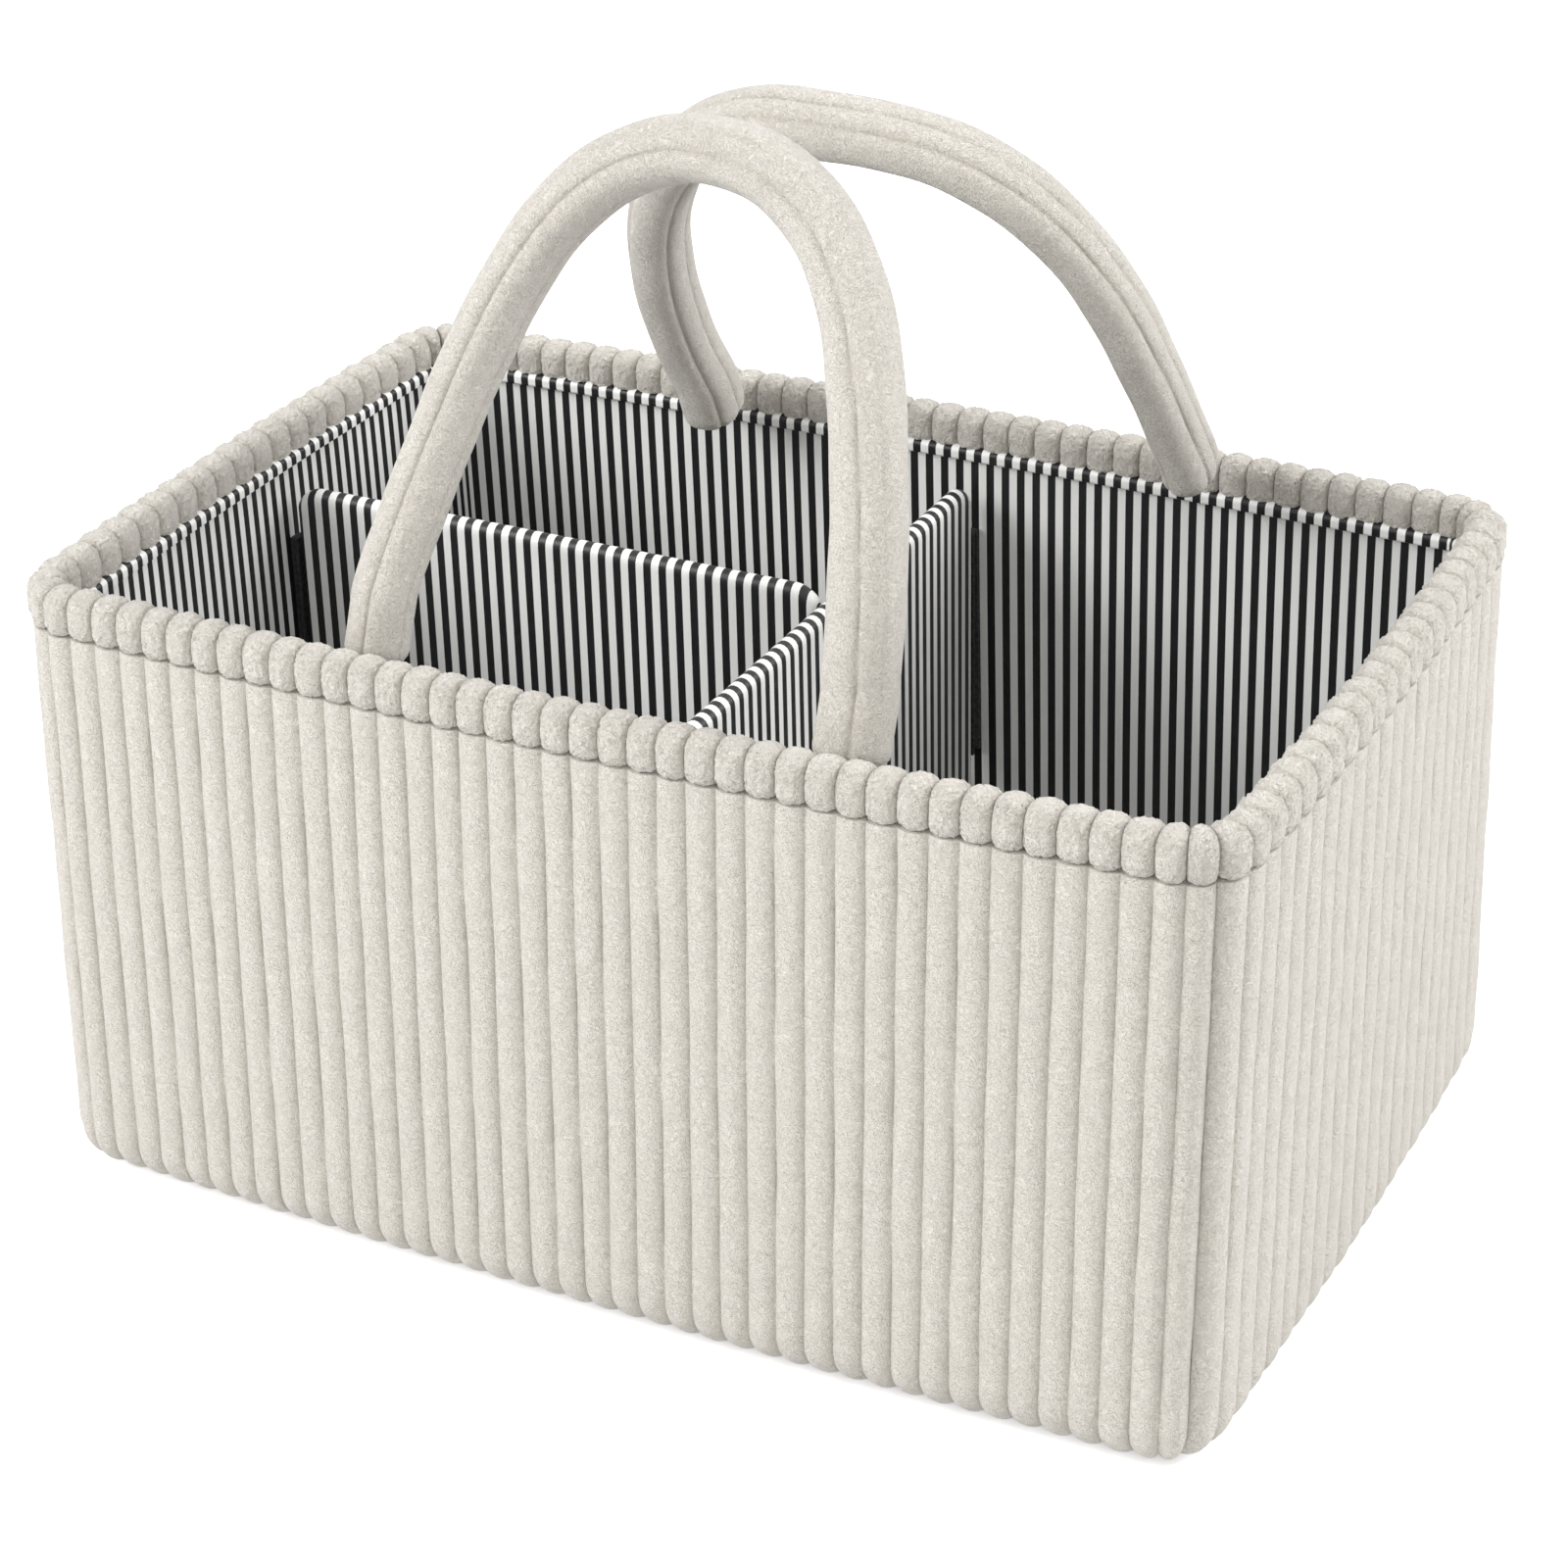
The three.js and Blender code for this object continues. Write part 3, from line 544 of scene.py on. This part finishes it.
def make_rim(side):
    """The rolled hem of one wall: a row of stuffed lobes, one for each rib."""
    tub = settings("caddy_tub")
    low, high = tub_heights(f"rim_roll_{side}")
    overhang = 0.8 * MM
    half_width = 6.5 * MM
    half_height = (high - low) / 2
    under_power, upper_power = 4.2, 2.5
    corner_pull = 1.25
    inner_pull = 0.3 * MM
    tucked_up = 0.4 * MM
    top_draw = 0.7
    rough = 0.32 * MM
    ribs = rib_count(side)
    seed = list(WALL_TURN).index(side)
    random = np.random.default_rng(seed + 20)
    fullness = random.uniform(-0.25, 0.25, ribs) * MM
    lift = random.uniform(-0.3, 0.15, ribs) * MM
    columns, rows = ribs * 18, 60
    pile = random.uniform(-1, 1, (columns + 1, rows + 1)) * rough
    pile[:, -1] = pile[:, 0]
    pile[[0, -1]] = 0

    def place(u, v):
        share, across, rib, at_corner = rib_lines(side, u, low + 0 * u, seed)
        seam = tub.lobe_groove * np.where(at_corner, corner_pull, 1)
        drawn = seam * swell(across)
        bulge = fullness[rib] * (1 - np.abs(across))
        turn = 2 * math.pi * v
        cos, sin = np.cos(turn), np.sin(turn)
        power = 2 / np.where(sin < 0, under_power, upper_power)
        strand = pile[np.round(u * columns).astype(int), np.round(v * rows).astype(int)]
        wide = half_width - drawn + bulge + strand - np.where(cos < 0, inner_pull, 0)
        out = wide * np.sign(cos) * np.abs(cos) ** power
        up = (half_height - top_draw * drawn + strand) * np.sign(sin) * np.abs(sin) ** power
        depth = half_width - overhang - out
        inward = (depth + overhang) / (2 * half_width)
        raised = lift[rib] * (1 - np.abs(across)) * (up > 0)
        tucked = tucked_up * np.maximum(0, 2 * inward - 1) ** 2 * (up < 0)
        z = (low + high) / 2 + up + raised + tucked
        # Painted shade at the lobe seams goes out with the points
        return wall_point(side, share, depth, z, 1), seam_shadow(across)

    piece = grid_piece(f"rim_hem_{side}", columns, rows, place)
    close_up(piece)
    dress(piece, "tub", "plush", "sheared_plush", f"rim_roll_{side}")


# Depths of the layers below the crests of the plush, as in the frame
LINING_DEPTH = 9.6 * MM
FACING_DEPTH = 11.1 * MM
CLOTH_THICKNESS = 1.2 * MM


def make_lining(side):
    """The striped cloth inside one wall, stretched on its board with a little slack."""
    low, high = tub_heights(f"lining_{side}")
    slack = 0.5 * MM
    wave_along, wave_up = 0.31, 1.7
    seed = 40 + list(WALL_TURN).index(side)
    phases = np.random.default_rng(seed).uniform(0, 2 * math.pi, (4, 1))

    def place(u, v):
        turn = 2 * math.pi * v
        height = (1 - np.cos(turn)) / 2
        face = np.sin(turn) * CLOTH_THICKNESS / 2
        z = low + (high - low) * height
        loose = slack * wander(u, phases[:2], wave_along) * wander(height, phases[2:], wave_up)
        loose = loose * np.sin(math.pi * np.clip(u, 0, 1)) * np.sin(math.pi * height)
        return wall_point(side, u, LINING_DEPTH + CLOTH_THICKNESS / 2 - face - loose, z), 0 * u

    piece = grid_piece(f"lining_wall_{side}", columns=160, rows=40, place=place)
    run = run_length(side, (low + high) / 2)
    stripe_uv(piece, run)
    close_up(piece)
    dress(piece, "tub", "striped_cloth", "printed_twill", f"lining_{side}")


def make_facing(side):
    """The narrow band of lining cloth that covers the raw edge below the rim: folded double, with its
    two edges sewn up into the rim."""
    low, high = tub_heights(f"facing_{side}")
    sewn_in = 2.2 * MM
    stripe_shift = 0.35
    ply = 0.5 * MM
    fold = CLOTH_THICKNESS / 2
    centre = FACING_DEPTH + fold
    turn_radius = 1.0 * MM
    turn_angle = math.radians(80)
    upright = high - turn_radius / 2 - low - fold
    straight = upright + turn_radius * turn_angle + sewn_in
    path = 2 * straight + math.pi * (fold - ply / 2)

    def place(u, v):
        outer_side = v < 0.5
        share = np.where(outer_side, v * 2, 2 - v * 2)
        along = share * path
        bend = np.clip((along - straight) / (path - 2 * straight), 0, 1) * math.pi
        from_edge = np.clip(np.minimum(along, path - along) / (ply / 2), 0, 1)
        half_ply = ply / 2 * np.sqrt(1 - (1 - from_edge) ** 2)
        reach = fold - ply / 2 + np.where(outer_side, half_ply, -half_ply)
        up = straight - np.clip(np.minimum(along, path - along), 0, straight)
        turned = np.clip((up - upright) / turn_radius, 0, turn_angle)
        tail = np.maximum(0, up - upright - turn_radius * turn_angle)
        side_step = -reach * np.cos(bend)
        outwards = turn_radius * (1 - np.cos(turned)) + tail * np.sin(turned)
        depth = centre - outwards + side_step * np.cos(turned)
        z = low + fold + np.minimum(up, upright) + turn_radius * np.sin(turned) + tail * np.cos(turned)
        z = z + side_step * np.sin(turned) - reach * np.sin(bend)
        return wall_point(side, u, depth, z), 0 * u

    piece = grid_piece(f"facing_band_{side}", columns=160, rows=60, place=place)
    run = run_length(side, low)
    stripe_uv(piece, run, stripe_shift)
    close_up(piece)
    dress(piece, "tub", "striped_cloth", "printed_twill", f"facing_{side}")


# The bottom


def plan_sheet(name, node_name, depth, full):
    """A flat cloth with the tub's plan outline, between a node's lower and upper face."""
    low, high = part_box(node_name)
    z_mid = (low.z + high.z) / 2
    thickness = high.z - low.z

    def place(u, v):
        turn = 2 * math.pi * v
        across = np.cos(turn)
        face = np.sign(np.sin(turn)) * np.sqrt(np.abs(np.sin(turn)))
        edge = wall_point("front", u, depth, z_mid + 0 * u, full)
        y_edge = -edge[:, 1]
        z = z_mid + face * thickness / 2
        return np.stack([edge[:, 0], across * y_edge, z], axis=1), 0 * u

    piece = grid_piece(name, columns=120, rows=64, place=place)
    stripe_uv(piece, run_length("front", z_mid))
    close_up(piece)
    return piece, (high.x - low.x, high.y - low.y)


def make_bottom():
    """The striped cloth on the base board and the plush under it."""
    clear = 0.3 * MM
    floor_depth = LINING_DEPTH + CLOTH_THICKNESS + clear
    piece, flat = plan_sheet("lining_floor_cloth", "lining_floor", floor_depth, 0)
    dress(piece, "tub", "striped_cloth", "printed_twill", "lining_floor")
    under_depth = settings("caddy_tub").curl_radius + clear
    piece, flat = plan_sheet("under_cloth", "under_cover", under_depth, 1)
    dress(piece, "tub", "plush", "sheared_plush", "under_cover")


# The dividers


def divider_pad(name, node_name, body, run_axis):
    """A board in a striped sleeve: flat sides, a round folded top and round upper corners."""
    low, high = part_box(node_name)
    across_axis = 1 - run_axis
    start, end = low[run_axis], high[run_axis]
    middle = (low[across_axis] + high[across_axis]) / 2
    half_thickness = (high[across_axis] - low[across_axis]) / 2
    corner = 9 * MM
    edge_round = 3.2 * MM
    edge_crowding = 0.06
    corner_ease, foot_slope = 0.3, 3

    def place(u, v):
        run = end - start
        from_end = np.minimum(u, 1 - u) * run
        in_corner = np.clip(1 - from_end / corner, 0, 1)
        top = high.z - corner * (1 - np.sqrt(1 - in_corner**2))
        turn = 2 * math.pi * v
        height = (1 - np.cos(turn)) / 2
        height = height + edge_crowding * np.sin(2 * math.pi * height)
        z = low.z + (top - low.z) * height
        from_top = (top - z) * (1 - corner_ease * in_corner)
        inset = np.minimum(from_end, np.minimum(from_top, (z - low.z) * foot_slope))
        rounded = np.sqrt(np.clip(1 - (1 - np.clip(inset / edge_round, 0, 1)) ** 2, 0, 1))
        face = np.sign(np.sin(turn)) * half_thickness * rounded
        points = np.zeros((len(u), 3))
        points[:, run_axis] = start + run * u
        points[:, across_axis] = middle + face
        points[:, 2] = z
        return points, 0 * u

    piece = grid_piece(name, columns=150, rows=96, place=place)
    stripe_uv(piece, end - start)
    close_up(piece)
    dress(piece, body, "striped_cloth", "printed_twill", node_name)


# The handle straps


def arch_path(side, reaches, samples):
    """A strap's middle line from one sewn tip to the other, at equal steps: places along X, up its
    arch and outwards across it, the direction of travel in the arch's plane, and the length so far."""
    strap = settings("caddy_straps")
    left, right, rise, skew, swing, left_power, right_power = (
        getattr(strap, f"{side}_{name}")
        for name in ("left", "right", "rise", "skew", "swing", "left_power", "right_power")
    )
    fine_steps = 4000
    angle = np.linspace(math.pi, 0, fine_steps)
    cos, sin = np.cos(angle), np.maximum(np.sin(angle), 0)
    bend = 2 / np.where(cos < 0, left_power, right_power)
    across = np.sign(cos) * np.abs(cos) ** bend
    height = sin**bend
    x = (left + right) / 2 + (right - left) / 2 * across + skew * height
    out = swing * across * np.sin(math.pi * height)
    x = np.concatenate([[left], x, [right]])
    up = np.concatenate([[-reaches[0]], rise * height, [-reaches[1]]])
    out = np.concatenate([[0], out, [0]])
    steps = np.sqrt(np.diff(x) ** 2 + np.diff(up) ** 2 + np.diff(out) ** 2)
    run = np.concatenate([[0], np.cumsum(steps)])
    even = np.linspace(0, run[-1], samples)
    x, up, out = np.interp(even, run, x), np.interp(even, run, up), np.interp(even, run, out)
    dx, dup = np.gradient(x), np.gradient(up)
    size = np.hypot(dx, dup)
    return x, up, out, dx / size, dup / size, even


# Where the seams run round a strap, in degrees from its outer edge towards its front face, and
# how deep each is drawn in, as a share
STRAP_SEAMS = {
    "front": ((98, 1.0), (62, 0.45), (-60, 0.6), (-110, 1.0), (180, 0.6)),
    "back": ((0, 0.8), (47, 1.0), (131, 0.9), (180, 0.6), (-90, 1.0)),
}


def strap_radius(angle, half_width, half_thickness, seams, turned, seam_depth):
    """The strap's rounded section, drawn in at each seam, and how near each point is to a seam."""
    power = 2.25
    crease_width, hollow_width = 0.07, 0.3
    across = np.abs(np.cos(angle) / half_width) ** power
    plain = (across + np.abs(np.sin(angle) / half_thickness) ** power) ** (-1 / power)
    drawn = 0 * angle
    for place, share in seams:
        off = (angle - math.radians(place) - turned + math.pi) % (2 * math.pi) - math.pi
        crease = 0.75 * np.exp(-np.abs(off) / crease_width)
        hollow = 0.25 * np.exp(-((off / hollow_width) ** 2))
        drawn = np.maximum(drawn, share * (crease + hollow))
    return plain - seam_depth * drawn, drawn


def make_strap(side):
    """One padded strap, sewn to the tub at its ends and swung with its handle from the hinge line up."""
    strap = settings("caddy_straps")
    joint = next(j for j in frame["joints"] if j["name"] == f"{side}_handle_swing")
    pivot = Vector(joint["pos_m"])
    hinge_line = np.array([0, pivot.y, pivot.z])
    lean = math.radians(getattr(strap, f"{side}_lean"))
    twist = math.radians(getattr(strap, f"{side}_twist"))
    widths = getattr(strap, f"{side}_left_width"), getattr(strap, f"{side}_right_width")
    facing = -1 if side == "front" else 1
    up_way = np.array([0, -facing * math.sin(lean), math.cos(lean)])
    out_way = np.array([0, facing * math.cos(lean), math.sin(lean)])
    drops = getattr(strap, f"{side}_left_drop"), getattr(strap, f"{side}_right_drop")
    reaches = [(pivot.z - rim_top() + drop) / math.cos(lean) for drop in drops]
    samples = 241
    x, up, out, dx, dup, run = arch_path(side, reaches, samples)
    seam_depth = 1.3 * MM
    tip = 6 * MM
    unevenness, wavelength = 0.25 * MM, 60 * MM
    round_shift = 10 * MM
    # How much painted shade darkens the plush at the strap's seams
    painted_seam_shade = 0.45
    phases = np.random.default_rng(60 + facing).uniform(0, 2 * math.pi, (2, 1))

    def place(u, v):
        at = u * (samples - 1)
        index = np.arange(samples)
        px, pup, pout = np.interp(at, index, x), np.interp(at, index, up), np.interp(at, index, out)
        tx, tup = np.interp(at, index, dx), np.interp(at, index, dup)
        along = np.interp(at, index, run)
        from_tip = np.minimum(along, run[-1] - along)
        closing = np.sqrt(np.clip(1 - (1 - np.clip(from_tip / tip, 0, 1)) ** 2, 0, 1))
        angle = 2 * math.pi * v
        turned = twist * np.clip(2 * u - 1, 0, 1)
        half_width = (widths[0] + (widths[1] - widths[0]) * u) / 2
        radius, seam = strap_radius(
            -facing * angle, half_width, strap.thickness / 2, STRAP_SEAMS[side], turned, seam_depth
        )
        radius = radius + unevenness * wander(along + round_shift * np.cos(angle), phases, wavelength)
        a = radius * np.cos(angle) * closing
        b = radius * np.sin(angle) * closing + pout
        points = hinge_line + np.outer(px + a * -tup, [1, 0, 0])
        points = points + np.outer(pup + a * tx, up_way) + np.outer(b, out_way)
        # Painted shade along the seams goes out with the points
        return points, painted_seam_shade * seam

    piece = grid_piece(f"{side}_strap", columns=260, rows=96, place=place)
    close_up(piece)
    nodes = [f"handle_{side}_{part}" for part in ("sleeve", "core", "end_left", "end_right")]
    dress(piece, None, "plush", "sheared_plush", *nodes)
    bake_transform(piece)


# The stage


def make_camera():
    """The camera that took the photograph, as fitted to its outline."""
    stage = settings("caddy_stage")
    yaw, pitch, roll = (
        math.radians(getattr(stage, f"camera_{turn}")) for turn in ("yaw", "pitch", "roll")
    )
    ahead = math.cos(pitch)
    forward = Vector((-math.sin(yaw) * ahead, math.cos(yaw) * ahead, -math.sin(pitch)))
    right = Vector((math.cos(yaw), math.sin(yaw), 0))
    up = right.cross(forward)
    rolled_right = math.cos(roll) * right + math.sin(roll) * up
    rolled_up = -math.sin(roll) * right + math.cos(roll) * up
    data = bpy.data.cameras.new("photo_camera")
    data.sensor_width = SENSOR_WIDTH_MM
    data.lens = stage.focal_pixels / FRAME_PIXELS * SENSOR_WIDTH_MM
    data.clip_end = 20
    camera = bpy.data.objects.new("photo_camera", data)
    bpy.context.scene.collection.objects.link(camera)
    turned = Matrix((rolled_right, rolled_up, -forward)).transposed().to_4x4()
    camera.matrix_world = Matrix.Translation(CAMERA_PLACE) @ turned
    bpy.context.scene.camera = camera


def make_lamp(name, place, power):
    """A round soft lamp that faces the object."""
    data = bpy.data.lights.new(name, "AREA")
    data.shape = "DISK"
    data.size = LAMP_SIZE
    data.energy = power
    lamp = bpy.data.objects.new(name, data)
    lamp.location = place
    toward = Vector(LAMP_TARGET) - Vector(place)
    lamp.rotation_euler = toward.to_track_quat("-Z", "Y").to_euler()
    bpy.context.scene.collection.objects.link(lamp)


def backdrop_share(tree):
    """1 for the rays that show the white background, and 0 for those that only light the object."""
    ray = node(tree, "LightPath").outputs
    either = {"operation": "MAXIMUM"}
    seen = node(tree, "Math", either, i0=ray["Is Camera Ray"], i1=ray["Is Glossy Ray"])
    return node(tree, "Math", either, i0=seen.outputs[0], i1=ray["Is Transmission Ray"]).outputs[0]


def make_world():
    """Even light from all round, seen as plain white."""
    stage = settings("caddy_stage")
    world = bpy.data.worlds.new("soft_dome")
    world.use_nodes = True
    tree = world.node_tree
    background = tree.nodes["Background"]
    background.inputs["Color"].default_value = (1, 1, 1, 1)
    strength = node(tree, "MapRange", i0=backdrop_share(tree), i3=stage.dome, i4=1.0)
    tree.links.new(strength.outputs[0], background.inputs["Strength"])
    bpy.context.scene.world = world


def make_floor():
    """A pale floor that shows white and keeps the object's soft shadow."""
    stage = settings("caddy_stage")
    floor_size, floor_drop = 12, 0.2 * MM
    glow = 0.5
    bpy.ops.object.select_all(action="DESELECT")
    bpy.ops.mesh.primitive_plane_add(size=floor_size, location=(0, 0, -floor_drop))
    floor = bpy.context.object
    floor.name = "studio_floor"
    looks = {"Base Color": solid(stage.floor), "Roughness": 0.9, "Specular IOR Level": 0.1}
    looks["Emission Color"] = (1, 1, 1, 1)
    made, tree, surface = new_material("white_floor", looks)
    strength = node(tree, "MapRange", i0=backdrop_share(tree), i3=0.0, i4=glow)
    tree.links.new(strength.outputs[0], surface.inputs["Emission Strength"])
    floor.data.materials.append(made)


# Operators


class CADDY_OT_stage(bpy.types.Operator):
    """Set the camera at the photograph's angle, with a pale floor and soft light"""

    bl_idname = "caddy.stage"
    bl_label = "Stage"

    def execute(self, context):
        make_camera()
        make_world()
        make_floor()
        stage = settings("caddy_stage")
        for name, place in LAMP_PLACES.items():
            make_lamp(f"{name}_lamp", place, getattr(stage, name))
        context.scene.view_settings.view_transform = "Standard"
        return {"FINISHED"}


class CADDY_OT_walls(bpy.types.Operator):
    """Make the ribbed plush of the four walls"""

    bl_idname = "caddy.walls"
    bl_label = "Plush walls"

    def execute(self, context):
        for side in WALL_TURN:
            make_wall(side)
        return {"FINISHED"}


class CADDY_OT_rim(bpy.types.Operator):
    """Make the rolled rim with one lobe for each rib"""

    bl_idname = "caddy.rim"
    bl_label = "Rolled rim"

    def execute(self, context):
        for side in WALL_TURN:
            make_rim(side)
        return {"FINISHED"}


class CADDY_OT_linings(bpy.types.Operator):
    """Make the striped linings and the narrow facings under the rim"""

    bl_idname = "caddy.linings"
    bl_label = "Linings"

    def execute(self, context):
        for side in WALL_TURN:
            make_lining(side)
            make_facing(side)
        return {"FINISHED"}


class CADDY_OT_bottom(bpy.types.Operator):
    """Make the cloth on the floor of the tub and the plush underneath"""

    bl_idname = "caddy.bottom"
    bl_label = "Bottom"

    def execute(self, context):
        make_bottom()
        return {"FINISHED"}


class CADDY_OT_dividers(bpy.types.Operator):
    """Make the two padded dividers"""

    bl_idname = "caddy.dividers"
    bl_label = "Dividers"

    def execute(self, context):
        divider_pad("cross_divider_pad", "cross_divider_cover", "cross_divider", 1)
        divider_pad("long_divider_pad", "long_divider_cover", "long_divider", 0)
        return {"FINISHED"}


class CADDY_OT_straps(bpy.types.Operator):
    """Make the two padded handle straps"""

    bl_idname = "caddy.straps"
    bl_label = "Handle straps"

    def execute(self, context):
        make_strap("front")
        make_strap("back")
        return {"FINISHED"}


class CADDY_OT_boards(bpy.types.Operator):
    """Give the boards and fastener tapes of the frame their finish"""

    bl_idname = "caddy.boards"
    bl_label = "Boards and tapes"

    def execute(self, context):
        finishes = {"stiff_board": "grey_board", "touch_fastener": "nylon_hook_tape"}
        for part in frame["record"]["subparts"]:
            look = finishes.get(part["material_slot"])
            if look:
                piece = frame["nodes"][part["node"]]
                piece.data.materials.clear()
                piece.data.materials.append(material(look))
        return {"FINISHED"}


OPERATORS = (
    CADDY_OT_stage,
    CADDY_OT_walls,
    CADDY_OT_rim,
    CADDY_OT_linings,
    CADDY_OT_bottom,
    CADDY_OT_dividers,
    CADDY_OT_straps,
    CADDY_OT_boards,
)


class CADDY_PT_sidebar(bpy.types.Panel):
    """Sizes, colours and the operators in their order"""

    bl_idname = "CADDY_PT_sidebar"
    bl_label = "Diaper caddy"
    bl_space_type = "VIEW_3D"
    bl_region_type = "UI"
    bl_category = "Caddy"

    def draw(self, context):
        for group in SETTINGS:
            box = self.layout.box()
            held = getattr(context.scene, group)
            for name in held.__annotations__:
                box.prop(held, name)
        for operator in OPERATORS:
            self.layout.operator(operator.bl_idname)


def register():
    for made in (*SETTINGS.values(), *OPERATORS, CADDY_PT_sidebar):
        bpy.utils.register_class(made)
    for name, group in SETTINGS.items():
        setattr(bpy.types.Scene, name, bpy.props.PointerProperty(type=group))


def unregister():
    for name in SETTINGS:
        delattr(bpy.types.Scene, name)
    for made in reversed((*SETTINGS.values(), *OPERATORS, CADDY_PT_sidebar)):
        bpy.utils.unregister_class(made)


def main():
    register()
    bpy.ops.caddy.stage()
    bpy.ops.caddy.walls()
    bpy.ops.caddy.rim()
    bpy.ops.caddy.linings()
    bpy.ops.caddy.bottom()
    bpy.ops.caddy.dividers()
    bpy.ops.caddy.straps()
    bpy.ops.caddy.boards()


if __name__ == "__main__":
    main()
